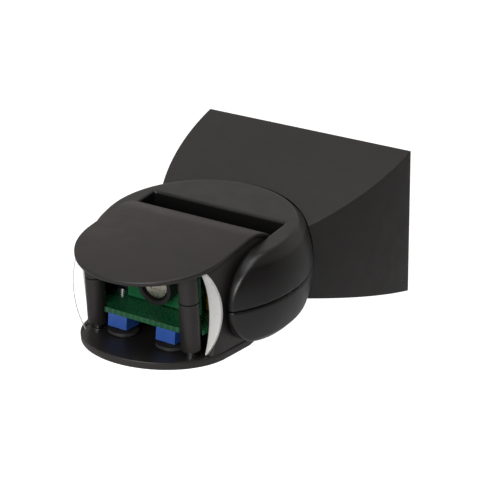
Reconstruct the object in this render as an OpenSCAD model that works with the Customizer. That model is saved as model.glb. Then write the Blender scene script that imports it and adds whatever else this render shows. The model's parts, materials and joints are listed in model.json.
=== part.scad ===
// Wall-mounted motion sensor with a panning yoke and a tilting sensor head.
// Origin: centre of the wall face, level with the yoke. +Y points into the wall,
// the sensor looks along -Y, +X is to the right and +Z is up. Millimetres.

/* [Wall bracket] */
// Width of the bracket where it meets the wall
bracket_w = 80; // [76:1:90]
// Height of the bracket's top edge at the wall
bracket_top = 20.8; // [19:0.2:24]
// Depth of the bracket's bottom edge below the origin at the wall
bracket_bottom = 32.3; // [30:0.1:36]
// Fall of the top face, in degrees, towards the yoke
top_slope = 11.4; // [9:0.1:13]
// Rise of the bottom face, in degrees, towards the yoke
bottom_slope = 19.1; // [17:0.1:21]
// Plan radius of the two side faces
side_radius = 110; // [100:1:130]
// Wall thickness of the bracket moulding
shell_wall = 3; // [2.5:0.1:3.5]
// Thickness of the back plate
plate_t = 2.5; // [2:0.1:3]
// Spacing of the two wall screws
wall_screw_spacing = 50; // [44:1:54]

/* [Yoke] */
// Distance from the wall to the ball centre, which is on the pan axis
ball_y = 69; // [67:0.5:72]
// Radius of the ball
ball_r = 36.4; // [36:0.1:37]
// Half height between the ball's two flats
ball_half_h = 15; // [14.5:0.1:16]
// Distance from the ball centre forward to the tilt axis
tilt_forward = 9; // [8.5:0.5:10]
// Radius of the arm ends round the tilt axis
arm_r = 15; // [14:0.5:15]
// Half width of the bay between the arms
bay_half_w = 25.1; // [25:0.1:26]
// Distance from the ball centre back to the bay's rear wall
bay_back = 11.5; // [11:0.5:13]
// Yoke wall thickness
yoke_wall = 3; // [2.5:0.1:3.5]

/* [Head] */
// Half width of the top and bottom plates
plate_half_w = 24.6; // [24.4:0.1:24.8]
// Half width over the flat cheeks
cheek_half_w = 23.9; // [23.6:0.1:24.1]
// Radius of the rear barrel round the tilt axis
barrel_r = 18.6; // [18:0.1:19]
// Distance from the tilt axis to the front of the plates
head_front = 40.2; // [39.8:0.1:41]
// Fall of the top plate towards the front, in degrees
top_fall = 2.6; // [2:0.1:4]
// Rise of the bottom plate towards the front, in degrees
bottom_rise = 9.5; // [8:0.1:11]
// Thickness of the top plate
top_t = 1.5; // [1.2:0.1:2]
// Thickness of the bottom plate
bottom_t = 2.6; // [2.2:0.1:3]
// Wall thickness of the cheeks and the barrel
head_wall = 2; // [1.6:0.1:2.2]

/* [Lens] */
// Plan radius of the lens at its widest
lens_r = 26.5; // [26.2:0.1:26.8]
// How much the lens bulges between its edges and its middle
lens_bulge = 2; // [1.8:0.1:2.2]
// Thickness of the lens
lens_t = 0.9; // [0.6:0.1:1.2]
// Height of the middle of the lens above the tilt axis
lens_mid = 3.2; // [2.5:0.1:4]
// Radius of the lens's curved rear edge, seen from the side
lens_edge_r = 31; // [30:0.5:32]
// Distance from the tilt axis forward to the middle of the lens's rear edge
lens_edge_front = 18.3; // [18:0.1:19]

/* [Fits] */
// Gap between the ball and its socket
socket_gap = 0.3; // [0.2:0.05:0.4]
// Radial clearance of a shaft in its bore
shaft_gap = 0.05; // [0.03:0.01:0.08]
// Gap between pieces that lie beside each other
piece_gap = 0.15; // [0.1:0.05:0.25]

/* [Hidden] */
$fn = 96;
eps = 0.01;

moulded_black = [0.13, 0.12, 0.125];
yoke_black = [0.17, 0.16, 0.165];
milky = [0.86, 0.86, 0.85];
rubber = [0.05, 0.05, 0.05];
zinc = [0.72, 0.73, 0.75];
brass = [0.78, 0.62, 0.3];
board_green = [0.08, 0.32, 0.18];

socket_r = ball_r + socket_gap;
cavity_r = socket_r + shell_wall;
bracket_reach = 60;
terminal_z = 8;
terminal_back = 4.6;
tilt_y = -(ball_y + tilt_forward);

// Places `children` in the ball's frame, whose Z is the pan axis
module at_ball() { translate([0, -ball_y, 0]) children(); }

// Places `children` in the head's frame, whose X is the tilt axis
module at_tilt() { translate([0, tilt_y, 0]) children(); }

// Places `children` in a frame whose floor is parallel to the head's bottom plate
module at_floor() { at_tilt() rotate([-bottom_rise, 0, 0]) children(); }

// Extrudes a side view, drawn as [y, z], across X between the two given places
module across(x_from, x_to) {
    rotate([90, 0, 90]) translate([0, 0, x_from]) linear_extrude(x_to - x_from) children();
}

// A cylinder along X from x_from to x_to
module rod_x(r, x_from, x_to) {
    translate([x_from, 0, 0]) rotate([0, 90, 0]) cylinder(r = r, h = x_to - x_from);
}

// A cylinder along Y from y_from to y_to
module rod_y(r, y_from, y_to) {
    translate([0, y_from, 0]) rotate([-90, 0, 0]) cylinder(r = r, h = y_to - y_from);
}

// ---------------------------------------------------------------- wall bracket

wall_screw_z = -5;
grommet_z = -17;
grommet_hole_r = 6.5;
cable_r = 4.1;
lug_x = 24;
lug_y = 6.5;
plate_screw_seat = -27.9;
lug_low = -25;
clamp_z = -4;
clamp_post_x = 9;
clamp_seat = -10;

// The solid wedge, with every face moved inwards by `inset`
module wedge(inset) {
    plan_r = side_radius - inset;
    plan_x = side_radius - bracket_w / 2;
    top_z = bracket_top - inset / cos(top_slope);
    low_z = -bracket_bottom + inset / cos(bottom_slope);
    intersection() {
        translate([0, 0, -50]) linear_extrude(100) intersection() {
            translate([-plan_x, 0]) circle(r = plan_r, $fn = 256);
            translate([plan_x, 0]) circle(r = plan_r, $fn = 256);
            translate([-50, -bracket_reach]) square([100, bracket_reach + (inset > 0 ? 1 : 0)]);
        }
        across(-50, 50) polygon([
            [1, top_z + tan(top_slope)], [-bracket_reach, top_z - bracket_reach * tan(top_slope)],
            [-bracket_reach, low_z + bracket_reach * tan(bottom_slope)],
            [1, low_z - tan(bottom_slope)]
        ]);
    }
}

pan_limit = 25;
spigot_r = 5;
slot_half_h = spigot_r + 0.4;

// The curved window that the spigot sweeps as the yoke pans
module pan_slot() {
    at_ball() {
        rotate([0, 0, 90 - pan_limit]) rotate_extrude(angle = 2 * pan_limit)
            translate([socket_r - 2, -slot_half_h]) square([shell_wall + 4, 2 * slot_half_h]);
        for (side = [-1, 1]) rotate([0, 0, side * pan_limit])
            rod_y(slot_half_h, socket_r - 2, socket_r + shell_wall + 2);
    }
}

module bracket_shell() color(moulded_black) {
    difference() {
        wedge(0);
        difference() {
            wedge(shell_wall);
            at_ball() sphere(r = cavity_r, $fn = 128);
        }
        at_ball() sphere(r = socket_r, $fn = 128);
        pan_slot();
        for (side = [-1, 1]) translate([side * lug_x, -lug_y, 0]) {
            translate([0, 0, -40]) cylinder(r = 1.5, h = 20);
            translate([0, 0, -40]) cylinder(r = 3, h = 40 + plate_screw_seat);
        }
    }
}

module plate_outline() {
    intersection() {
        wedge(shell_wall + piece_gap);
        translate([-50, -plate_t, -50]) cube([100, plate_t, 100]);
    }
}

gasket_w = 2;
gasket_t = 1;

module gasket_ring() {
    intersection() {
        difference() {
            wedge(shell_wall + piece_gap);
            wedge(shell_wall + piece_gap + gasket_w);
        }
        translate([-50, -gasket_t, -50]) cube([100, gasket_t, 100]);
    }
}

module wall_plate() color(moulded_black) {
    difference() {
        union() {
            difference() { plate_outline(); gasket_ring(); }
            for (side = [-1, 1]) {
                translate([side * lug_x - 4, -11, lug_low]) cube([8, 11 - plate_t + eps, 7]);
                translate([side * clamp_post_x, 0, clamp_z]) rod_y(2.4, clamp_seat, -1.5);
                translate([side * 13, 0, terminal_z]) rod_y(2.2, -terminal_back, -1.5);
            }
        }
        for (side = [-1, 1]) {
            translate([side * wall_screw_spacing / 2, 0, wall_screw_z]) rod_y(2.25, -5, 1);
            translate([side * lug_x, -lug_y, plate_screw_seat]) cylinder(r = 1.25, h = 8);
            translate([side * clamp_post_x, 0, clamp_z]) rod_y(1.05, -11, -3);
        }
        translate([0, 0, grommet_z]) rod_y(grommet_hole_r, -5, 1);
    }
}

module wall_gasket() color(rubber) gasket_ring();

module cable_grommet() color(rubber) translate([0, 0, grommet_z]) {
    difference() {
        union() {
            rod_y(grommet_hole_r, -plate_t, 0);
            rod_y(5.8, -plate_t - 2.5, -plate_t + eps);
        }
        rod_y(cable_r, -10, 1);
    }
}

pole_pitch = 9;

module terminal_block() color([0.9, 0.9, 0.88]) translate([0, -terminal_back, terminal_z]) {
    difference() {
        translate([-15, -11, -5.5]) cube([30, 11, 11]);
        for (pole = [-1, 0, 1]) translate([pole * pole_pitch, 0, 0]) {
            translate([0, -5.5, -6]) cylinder(r = 1.9, h = 12);
            for (row = [-1, 1]) translate([0, 0, row * 3]) rod_y(1.8, -12, -5);
        }
        for (side = [-1, 1]) translate([side * 4.5, 0, 0]) rod_y(0.8, -12, 1);
    }
}

module terminal_screws() color(brass) translate([0, -terminal_back, terminal_z])
    for (pole = [-1, 0, 1], row = [-1, 1]) translate([pole * pole_pitch, 0, row * 3])
        difference() {
            rod_y(1.6, -10.2, -6.4);
            translate([-1.7, -10.3, -0.25]) cube([3.4, 0.7, 0.5]);
        }

// A pan-head screw along Z: the head hangs below the seat at z = 0
module screw(shank_r, shank_l, head_r, head_t) {
    difference() {
        union() {
            translate([0, 0, -head_t]) cylinder(r = shank_r, h = shank_l + head_t, $fn = 48);
            translate([0, 0, -head_t]) cylinder(r = head_r, h = head_t, $fn = 48);
        }
        for (turn = [0, 90]) rotate([0, 0, turn])
            translate([-head_r * 0.6, -0.3, -head_t - 1]) cube([head_r * 1.2, 0.6, 1 + head_t * 0.55]);
    }
}

module plate_screws() color(zinc) for (side = [-1, 1])
    translate([side * lug_x, -lug_y, plate_screw_seat]) screw(1.25, 7.5, 2.7, 1.3);

module cable_clamp() color(moulded_black) translate([0, clamp_seat, clamp_z]) difference() {
    translate([-12, -2.5, -3]) cube([24, 2.5, 6]);
    for (side = [-1, 1]) translate([side * clamp_post_x, 0, 0]) rod_y(1.3, -3, 1);
}

module clamp_screws() color(zinc) for (side = [-1, 1])
    translate([side * clamp_post_x, clamp_seat - 2.5, clamp_z]) rotate([-90, 0, 0])
        screw(1.05, 8, 2.1, 1.4);

// A run of sleeved wire: straight rods, each stopped `gap` short of the bend it meets
module wire(points, r, gap = 0) {
    last = len(points) - 2;
    for (i = [0 : last]) {
        step = points[i + 1] - points[i];
        length = norm(step);
        tilt = acos(step[2] / length);
        turn = atan2(step[1], step[0]);
        start = i > 0 ? gap : 0;
        stop = i < last ? gap : 0;
        translate(points[i]) rotate([0, tilt, turn]) translate([0, 0, start])
            cylinder(r = r, h = length - start - stop, $fn = 24);
    }
}

lead_r = 1;
sleeve_r = 1.3;
bend_gap = 1.4;

module base_leads() color([0.35, 0.2, 0.12]) for (pole = [-1, 0, 1])
    wire([[pole * pole_pitch, -10.1, 1.6], [pole * 2.8, -18.4, 0]], lead_r);

// ------------------------------------------------------------------------ yoke

trunnion_r = 6;
trunnion_end = 30.8;
trunnion_bore_r = 3.5;
yoke_screw_x = 17;
yoke_screw_back = 18.5;
flange_face = ball_r - yoke_wall - 1.6;
lead_channel_x = 27;

// The arms' side view: a slab as thick as the ball, rounded round the tilt axis
module yoke_side_view() {
    translate([-tilt_forward, 0]) circle(r = arm_r, $fn = 128);
    translate([-tilt_forward, -ball_half_h]) square([60, 2 * ball_half_h]);
}

module yoke_solid() {
    at_ball() difference() {
        intersection() {
            sphere(r = ball_r, $fn = 160);
            across(-50, 50) yoke_side_view();
        }
        translate([-bay_half_w, -60, -30]) cube([2 * bay_half_w, 60 + bay_back, 60]);
    }
}

module yoke_chamber() {
    at_ball() difference() {
        intersection() {
            sphere(r = ball_r - yoke_wall, $fn = 128);
            translate([-40, bay_back + 2.5, -ball_half_h + 2.5])
                cube([80, 40, 2 * ball_half_h - 5]);
        }
        for (side = [-1, 1]) translate([side * yoke_screw_x, yoke_screw_back, -20])
            cylinder(r = 3.4, h = 40);
        translate([-11, flange_face, -11]) cube([22, 5, 22]);
    }
}

module yoke_bores() {
    at_ball() {
        translate([0, -tilt_forward, 0]) for (side = [-1, 1])
            rod_x(trunnion_r + shaft_gap, side > 0 ? bay_half_w - 1 : -trunnion_end - 0.3,
                side > 0 ? trunnion_end + 0.3 : -bay_half_w + 1);
        rod_y(spigot_r, 25, 40);
        translate([lead_channel_x, -tilt_forward, -1.75])
            cube([3, tilt_forward + bay_back + 4, 3.5]);
    }
}

module yoke_half(is_upper) {
    difference() {
        intersection() {
            yoke_solid();
            translate([-50, -150, is_upper ? piece_gap / 2 : -50]) cube([100, 150, 50 - piece_gap / 2]);
        }
        yoke_chamber();
        yoke_bores();
        at_ball() for (side = [-1, 1]) translate([side * yoke_screw_x, yoke_screw_back, 0])
            if (is_upper) translate([0, 0, -1]) cylinder(r = 1.3, h = 12);
            else {
                translate([0, 0, -20]) cylinder(r = 1.6, h = 21);
                translate([0, 0, -20]) cylinder(r = 3, h = 20 - ball_half_h + 2.4);
            }
    }
}

module yoke_upper() color(yoke_black) yoke_half(true);
module yoke_lower() color(yoke_black) yoke_half(false);

module yoke_screws() color(zinc) at_ball() for (side = [-1, 1])
    translate([side * yoke_screw_x, yoke_screw_back, -ball_half_h + 2.4])
        screw(1.3, 20, 2.7, 1.8);

shoe_gap = 0.3;
shoe_back = cavity_r + 2.8;
spring_t = 0.8;
nut_t = 4;
spigot_bore_r = 3.2;

module pan_spigot() color(zinc) at_ball() difference() {
    union() {
        rod_y(8, flange_face - 2.4, flange_face);
        rod_y(spigot_r, flange_face - 1, shoe_back + spring_t + nut_t + 1);
    }
    rod_y(spigot_bore_r, 20, 60);
}

module pan_shoe() color(zinc) at_ball() difference() {
    translate([-9, 30, -7.5]) cube([18, shoe_back - 30, 15]);
    sphere(r = cavity_r + shoe_gap, $fn = 128);
    rod_y(spigot_r + shaft_gap, 30, 60);
}

module pan_spring() color(zinc) at_ball() difference() {
    rod_y(7.4, shoe_back, shoe_back + spring_t);
    rod_y(spigot_r + 0.2, 30, 60);
}

module pan_nut() color(zinc) at_ball() difference() {
    translate([0, shoe_back + spring_t, 0]) rotate([-90, 0, 0]) cylinder(r = 8.6, h = nut_t, $fn = 6);
    rod_y(spigot_r, 30, 60);
}

module yoke_leads() color([0.35, 0.2, 0.12]) at_ball() {
    wire([[0, flange_face + 10, 0], [0, flange_face - 7, 0], [21, 23.8, 0], [27.2, 15.8, 0]],
        sleeve_r, bend_gap);
    wire([[lead_channel_x + 1.5, bay_back + 2, 0], [lead_channel_x + 1.5, -1.5, 0]], sleeve_r);
}

// ------------------------------------------------------------------------ head

tan_top = tan(top_fall);
tan_rise = tan(bottom_rise);

// The head's side view: a barrel round the tilt axis and two plates tangent to it
module head_side_view(inset_top, inset_bottom, inset_barrel) {
    top_d = barrel_r - inset_top;
    low_d = barrel_r - inset_bottom;
    reach = head_front + 2;
    circle(r = barrel_r - inset_barrel, $fn = 128);
    polygon([
        [0, 0], [-top_d * sin(top_fall), top_d * cos(top_fall)],
        [-reach, top_d / cos(top_fall) - reach * tan_top],
        [-reach, -low_d / cos(bottom_rise) + reach * tan_rise],
        [-low_d * sin(bottom_rise), -low_d * cos(bottom_rise)]
    ]);
}

// The plates' plan view: straight sides that run into a half-round front
module head_plan(half_w, front) {
    curve_centre = front - half_w;
    translate([0, -curve_centre]) circle(r = half_w, $fn = 192);
    translate([-half_w, -curve_centre]) square([2 * half_w, curve_centre + 25]);
}

module head_block(inset_top, inset_bottom, inset_barrel, half_w, front) {
    intersection() {
        across(-30, 30) head_side_view(inset_top, inset_bottom, inset_barrel);
        translate([0, 0, -30]) linear_extrude(60) head_plan(half_w, front);
    }
}

lens_edge_centre = lens_edge_front + lens_edge_r;
lens_edge_z = 1.3;
lens_half_h = 12.5;

// Everything in front of the lens's curved rear edge, seen from the side
module lens_side_view(r) {
    translate([-lens_edge_centre, lens_edge_z]) circle(r = r, $fn = 256);
}

// The lens's barrel surface, moved inwards by `inset`
module lens_barrel(inset) {
    meridian_r = (lens_half_h * lens_half_h + lens_bulge * lens_bulge) / (2 * lens_bulge);
    translate([0, -(head_front - plate_half_w), lens_mid]) rotate_extrude($fn = 192)
        intersection() {
            translate([lens_r - meridian_r, 0]) circle(r = meridian_r - inset, $fn = 256);
            translate([0, -20]) square([lens_r + 2, 40]);
        }
}

cover_low = barrel_r * 0.35;

// The part of the head that belongs to the cover: the top plate and its rear curl
module cover_zone(gap) {
    difference() {
        across(-40, 40) union() {
            polygon([[60, cover_low - gap], [0, cover_low - gap], [0, barrel_r + 5], [60, barrel_r + 5]]);
            polygon([
                [1, barrel_r + 5], [1, (barrel_r - top_t) / cos(top_fall) - gap],
                [-60, (barrel_r - top_t) / cos(top_fall) - 60 * tan_top - gap], [-60, barrel_r + 5]
            ]);
        }
        across(-40, 40) circle(r = barrel_r - top_t - gap, $fn = 128);
    }
}

post_x = 17.5;
post_f = 24;
post_joint_z = 6;
screw_seat_z = -barrel_r / cos(bottom_rise) + post_f * tan_rise + 2.2;

// The screw posts that come up from the bottom plate
module lower_posts() {
    for (side = [-1, 1]) translate([side * post_x, -post_f, -20]) cylinder(r = 3.1, h = 20 + post_joint_z);
}

module head_shell() color(yoke_black) difference() {
    union() {
        at_tilt() {
            difference() {
                union() {
                    difference() {
                        head_block(top_t + piece_gap, 0, 0, cheek_half_w, head_front - 0.3);
                        difference() { across(-30, 30) lens_side_view(lens_edge_r); lower_posts(); }
                    }
                    intersection() {
                        head_block(0, 0, 0, plate_half_w, head_front);
                        rotate([-bottom_rise, 0, 0]) translate([-30, -60, -barrel_r - 1])
                            cube([60, 60, 1 + bottom_t]);
                    }
                }
                difference() {
                    head_block(top_t, bottom_t, head_wall, cheek_half_w - head_wall, head_front + 12);
                    lower_posts();
                }
                cover_zone(piece_gap);
            }
            for (side = [-1, 1]) rod_x(trunnion_r, side > 0 ? cheek_half_w - head_wall : -trunnion_end,
                side > 0 ? trunnion_end : -cheek_half_w + head_wall);
        }
        at_floor() for (side = [-1, 1]) translate([side * 18, -8, -barrel_r + bottom_t - eps])
            cylinder(r = 2.6, h = barrel_r - bottom_t - board_bottom_d);
    }
    at_tilt() {
        rod_x(trunnion_bore_r, -40, 40);
        for (side = [-1, 1]) {
            ring_groove(side);
            translate([side * post_x, -post_f, -30]) cylinder(r = 1.5, h = 60);
            translate([side * post_x, -post_f, -30]) cylinder(r = 2.5, h = 30 + screw_seat_z);
        }
    }
    at_floor() for (side = [-1, 1]) {
        translate([side * 18, -8, -barrel_r + bottom_t]) cylinder(r = 1.05, h = 12);
        translate([side * knob_x, -knob_f, -barrel_r - 1]) cylinder(r = knob_r + shaft_gap, h = 6);
    }
}

ring_x = 27;
ring_w = 1.6;

// The groove for a friction ring on the trunnion at side -1 or 1
module ring_groove(side) {
    difference() {
        rod_x(trunnion_r + 1, side > 0 ? ring_x : -ring_x - ring_w, side > 0 ? ring_x + ring_w : -ring_x);
        rod_x(trunnion_r - 1, -40, 40);
    }
}

module tilt_ring(side) {
    at_tilt() difference() {
        rod_x(trunnion_r, side > 0 ? ring_x + 0.05 : -ring_x - ring_w + 0.05,
            side > 0 ? ring_x + ring_w - 0.05 : -ring_x - 0.05);
        rod_x(trunnion_r - 1, -40, 40);
    }
}
module tilt_ring_left() color(rubber) tilt_ring(-1);
module tilt_ring_right() color(rubber) tilt_ring(1);

module head_cover() color(yoke_black) at_tilt() difference() {
    union() {
        intersection() {
            head_block(0, 0, 0, plate_half_w, head_front);
            cover_zone(0);
        }
        for (side = [-1, 1]) translate([side * post_x, -post_f, post_joint_z + piece_gap])
            cylinder(r = 3.1, h = barrel_r - post_f * tan_top - post_joint_z - 1);
    }
    for (side = [-1, 1]) translate([side * post_x, -post_f, post_joint_z - 1]) cylinder(r = 1.2, h = 9);
}

module cover_screws() color(zinc) at_tilt() for (side = [-1, 1])
    translate([side * post_x, -post_f, screw_seat_z]) screw(1.2, post_joint_z - screw_seat_z + 7, 2.3, 1.6);

// The room between the two plates, seen from the side
module between_plates() {
    top_z = (barrel_r - top_t) / cos(top_fall) - piece_gap;
    low_z = -(barrel_r - bottom_t) / cos(bottom_rise) + piece_gap;
    polygon([[0, top_z], [-60, top_z - 60 * tan_top], [-60, low_z + 60 * tan_rise], [0, low_z]]);
}

// A strip along the lens's rear edge, seen from the side
module edge_strip(outer_r, inner_r) {
    difference() { lens_side_view(outer_r); lens_side_view(inner_r); }
}

lip_half_w = cheek_half_w - head_wall - 0.7;

// The lens: a thin barrel, with a lip that turns inwards along each side's rear edge
module lens() color(milky) at_tilt() {
    edge_r = lens_edge_r - piece_gap;
    intersection() {
        difference() { lens_barrel(0); lens_barrel(lens_t); }
        across(-30, 30) intersection() { lens_side_view(edge_r); between_plates(); }
    }
    difference() {
        intersection() {
            lens_barrel(lens_t / 2);
            across(-30, 30) intersection() { edge_strip(edge_r, edge_r - lens_t); between_plates(); }
        }
        translate([-lip_half_w, -60, -30]) cube([2 * lip_half_w, 60, 60]);
    }
}

frame_t = 1;

// A rim behind the lens's lip, on the inside of each cheek
module lens_frame() color(moulded_black) at_tilt() {
    frame_half_w = cheek_half_w - head_wall - piece_gap;
    difference() {
        across(-frame_half_w, frame_half_w)
            intersection() { edge_strip(lens_edge_r + 1.2, lens_edge_r); between_plates(); }
        translate([-frame_half_w + frame_t, -60, -30]) cube([2 * (frame_half_w - frame_t), 60, 60]);
    }
}

// ----------------------------------------------------------- head, inner pieces

board_bottom_d = 9.5;
board_t = 1.6;
board_top = -board_bottom_d + board_t;
knob_x = 9;
knob_f = 20;
knob_r = 4;

module main_board() color(board_green) difference() {
    at_floor() translate([-20.5, -23.5, -board_bottom_d]) cube([41, 31.5, board_t]);
    at_tilt() for (side = [-1, 1]) translate([side * post_x, -post_f, -20]) cylinder(r = 3.6, h = 40);
    at_floor() for (side = [-1, 1]) translate([side * 18, -8, -20]) cylinder(r = 1.2, h = 40);
}

module board_screws() color(zinc) at_floor() for (side = [-1, 1])
    translate([side * 18, -8, board_top]) rotate([180, 0, 0]) screw(1.05, 5.5, 2.1, 1.3);

sensor_board_f = 10.5;

module sensor_board() color(board_green) at_tilt() difference() {
    translate([-14, -sensor_board_f - board_t, -5.6]) cube([28, board_t, 18]);
    for (side = [-1, 1]) translate([side * 1.8, 0, lens_mid]) rod_y(0.5, -20, 0);
}

can_face = -sensor_board_f - board_t;

module pir_sensor() color([0.8, 0.78, 0.7]) at_tilt() translate([0, 0, lens_mid]) {
    difference() {
        union() {
            rod_y(4.7, can_face - 0.6, can_face);
            rod_y(4.1, can_face - 4.2, can_face - 0.6 + eps);
        }
        translate([-2, can_face - 5, -1.5]) cube([4, 1.3, 3]);
    }
    for (side = [-1, 1]) translate([side * 1.8, 0, 0]) rod_y(0.3, can_face - eps, can_face + 3);
}

module sensor_shield() color(moulded_black) at_tilt() translate([0, 0, lens_mid]) difference() {
    rod_y(6.2, can_face - 5.2, can_face);
    rod_y(4.9, can_face - 6, can_face + 1);
}

module light_sensor() color([0.75, 0.4, 0.25]) at_tilt() translate([10.5, 0, lens_mid + 4])
    rod_y(2.2, can_face - 2, can_face);

module status_led() color([0.75, 0.1, 0.08]) at_tilt() translate([-10.5, 0, lens_mid + 4]) {
    rod_y(1.5, can_face - 2.6, can_face);
    translate([0, can_face - 2.6, 0]) sphere(r = 1.5, $fn = 48);
}

module relay() color([0.1, 0.25, 0.55]) at_floor() translate([-19.5, -4.6, board_top])
    cube([15, 11.5, 11]);

module capacitor() color([0.85, 0.75, 0.2]) at_floor() translate([3, -4.6, board_top])
    cube([13, 9, 10]);

module pot(side) {
    at_floor() translate([side * knob_x, -knob_f, -board_bottom_d]) difference() {
        translate([-3.5, -3.5, -4.2]) cube([7, 7, 4.2]);
        translate([0, 0, -5]) cylinder(r = 1.55, h = 4.2);
    }
}
module lux_pot() color([0.2, 0.35, 0.7]) pot(-1);
module time_pot() color([0.2, 0.35, 0.7]) pot(1);

module head_leads() color([0.35, 0.2, 0.12]) at_tilt()
    wire([[trunnion_end - 4, 0, 0], [19.5, 0, 0], [17.5, 5, -7]], sleeve_r, bend_gap);

// An adjuster: a slotted disc in the bottom plate, a flange inside and a stub shaft
module knob(side) {
    face = -barrel_r - 0.2;
    inner = -barrel_r + bottom_t;
    at_floor() translate([side * knob_x, -knob_f, 0]) difference() {
        union() {
            translate([0, 0, face]) cylinder(r = knob_r, h = inner - face + 0.5);
            translate([0, 0, inner + 0.3]) cylinder(r = knob_r + 0.9, h = 0.8);
            translate([0, 0, inner + 1]) cylinder(r = 1.5, h = -board_bottom_d - 1.2 - inner - 1);
        }
        translate([-knob_r - 1, -0.5, face - 1]) cube([2 * knob_r + 2, 1, 2]);
        translate([knob_r * 0.55, 0, face - 1]) cylinder(r = 0.5, h = 1.5, $fn = 24);
    }
}
module lux_knob() color([0.35, 0.35, 0.36]) knob(-1);
module time_knob() color([0.35, 0.35, 0.36]) knob(1);

bracket_shell();
wall_plate();
wall_gasket();
cable_grommet();
terminal_block();
terminal_screws();
plate_screws();
cable_clamp();
clamp_screws();
base_leads();
yoke_upper();
yoke_lower();
yoke_screws();
pan_spigot();
pan_shoe();
pan_spring();
pan_nut();
yoke_leads();
head_shell();
head_cover();
cover_screws();
lens();
lens_frame();
tilt_ring_left();
tilt_ring_right();
main_board();
board_screws();
sensor_board();
pir_sensor();
sensor_shield();
light_sensor();
status_led();
relay();
capacitor();
lux_pot();
time_pot();
head_leads();
lux_knob();
time_knob();
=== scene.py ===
# %% [markdown]
# # A wall-mounted motion sensor
# This lesson dresses a finished CAD model of a motion sensor: a wedge bracket, a ball-shaped
# yoke that pans in it, and a tilting head with a milky lens. The CAD gives every size and every
# moving part. What is left for Blender is the look: soft moulded edges, a fine plastic grain, a
# lens with its cells and a studio to see it in. Each step says what the real piece is, then
# makes it.

# %% Load the frame
import json
import math

import bpy
from mathutils import Matrix, Vector


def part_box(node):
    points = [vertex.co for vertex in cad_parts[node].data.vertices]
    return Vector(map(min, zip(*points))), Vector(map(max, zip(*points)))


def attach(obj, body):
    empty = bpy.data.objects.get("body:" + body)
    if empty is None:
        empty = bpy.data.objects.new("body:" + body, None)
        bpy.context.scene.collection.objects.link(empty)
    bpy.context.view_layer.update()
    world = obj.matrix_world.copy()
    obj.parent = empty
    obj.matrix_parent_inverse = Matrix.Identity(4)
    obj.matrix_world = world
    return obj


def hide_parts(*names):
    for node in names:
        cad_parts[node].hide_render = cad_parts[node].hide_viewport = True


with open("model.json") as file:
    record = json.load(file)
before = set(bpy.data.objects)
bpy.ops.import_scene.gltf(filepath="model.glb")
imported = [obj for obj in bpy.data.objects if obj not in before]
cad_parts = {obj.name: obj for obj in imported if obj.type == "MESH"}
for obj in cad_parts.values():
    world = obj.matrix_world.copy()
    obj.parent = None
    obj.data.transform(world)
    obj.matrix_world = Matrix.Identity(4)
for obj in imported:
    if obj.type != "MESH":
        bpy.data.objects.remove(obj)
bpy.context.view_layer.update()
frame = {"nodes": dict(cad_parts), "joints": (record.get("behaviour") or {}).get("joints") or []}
joints = {joint["name"]: joint for joint in frame["joints"]}

# %% [markdown]
# The sizes come from the CAD boxes and from the two joint axes, so the pieces fit wherever the
# CAD puts them. Millimetres are easier to think in, so one constant turns them into metres.

# %% Sizes read from the frame
MM = 0.001
ball = Vector(joints["pan"]["pos_m"])
tilt = Vector(joints["tilt"]["pos_m"])
bracket_low, bracket_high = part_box("bracket_shell")
yoke_low, yoke_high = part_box("yoke_upper")
cover_low, cover_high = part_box("head_cover")
shell_low, shell_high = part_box("head_shell")
knob_low, knob_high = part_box("lux_knob")
ball_r = yoke_high.y - ball.y
half_h = yoke_high.z
barrel_r = cover_high.z - tilt.z
plate_half_w = cover_high.x
head_front = tilt.y - cover_low.y
print(f"ball radius {ball_r / MM:.1f} mm, barrel radius {barrel_r / MM:.1f} mm")

# %% [markdown]
# ## The camera
# A long lens, a third of the way up from the horizon, looks down on the sensor from its front
# right. Its place is an azimuth, an elevation and a distance from a point near the ball.

# %% Camera
AZIMUTH = math.radians(32.64)
ELEVATION = math.radians(26.42)
ROLL = math.radians(-1.70)
back = Vector((
    math.sin(AZIMUTH) * math.cos(ELEVATION),
    -math.cos(AZIMUTH) * math.cos(ELEVATION),
    math.sin(ELEVATION),
))
right = Vector((math.cos(AZIMUTH), math.sin(AZIMUTH), 0))
up = back.cross(right)
tilted_right = right * math.cos(ROLL) + up * math.sin(ROLL)
tilted_up = up * math.cos(ROLL) - right * math.sin(ROLL)
aim = ball + Vector((9.15, 9.41, 6.03)) * MM
camera_data = bpy.data.cameras.new("studio_camera")
camera_data.lens = 126.07
camera_data.sensor_width = 36
camera_data.clip_start = 0.01
camera = bpy.data.objects.new("studio_camera", camera_data)
bpy.context.scene.collection.objects.link(camera)
turn = Matrix((tilted_right, tilted_up, back)).transposed().to_4x4()
camera.matrix_world = Matrix.Translation(aim + back * 539 * MM) @ turn
bpy.context.scene.camera = camera

# %% [markdown]
# ## Helpers for modelling by hand
# Operators act on whatever is selected, so every step starts by deselecting everything. A slab
# is a flat outline pushed along one axis. A carve is a Boolean modifier that is applied at once.

# %% Modelling helpers
def select_only(piece):
    if bpy.context.object and bpy.context.object.mode != "OBJECT":
        bpy.ops.object.mode_set(mode="OBJECT")
    bpy.ops.object.select_all(action="DESELECT")
    piece.select_set(True)
    bpy.context.view_layer.objects.active = piece


def settle(piece, name):
    """Names a piece and moves its place into its mesh."""
    select_only(piece)
    bpy.ops.object.transform_apply(location=True, rotation=True, scale=True)
    piece.name = name
    piece.data.name = name
    return piece


def face_outwards(piece):
    select_only(piece)
    bpy.ops.object.mode_set(mode="EDIT")
    bpy.ops.mesh.select_all(action="SELECT")
    bpy.ops.mesh.normals_make_consistent(inside=False)
    bpy.ops.object.mode_set(mode="OBJECT")


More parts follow.
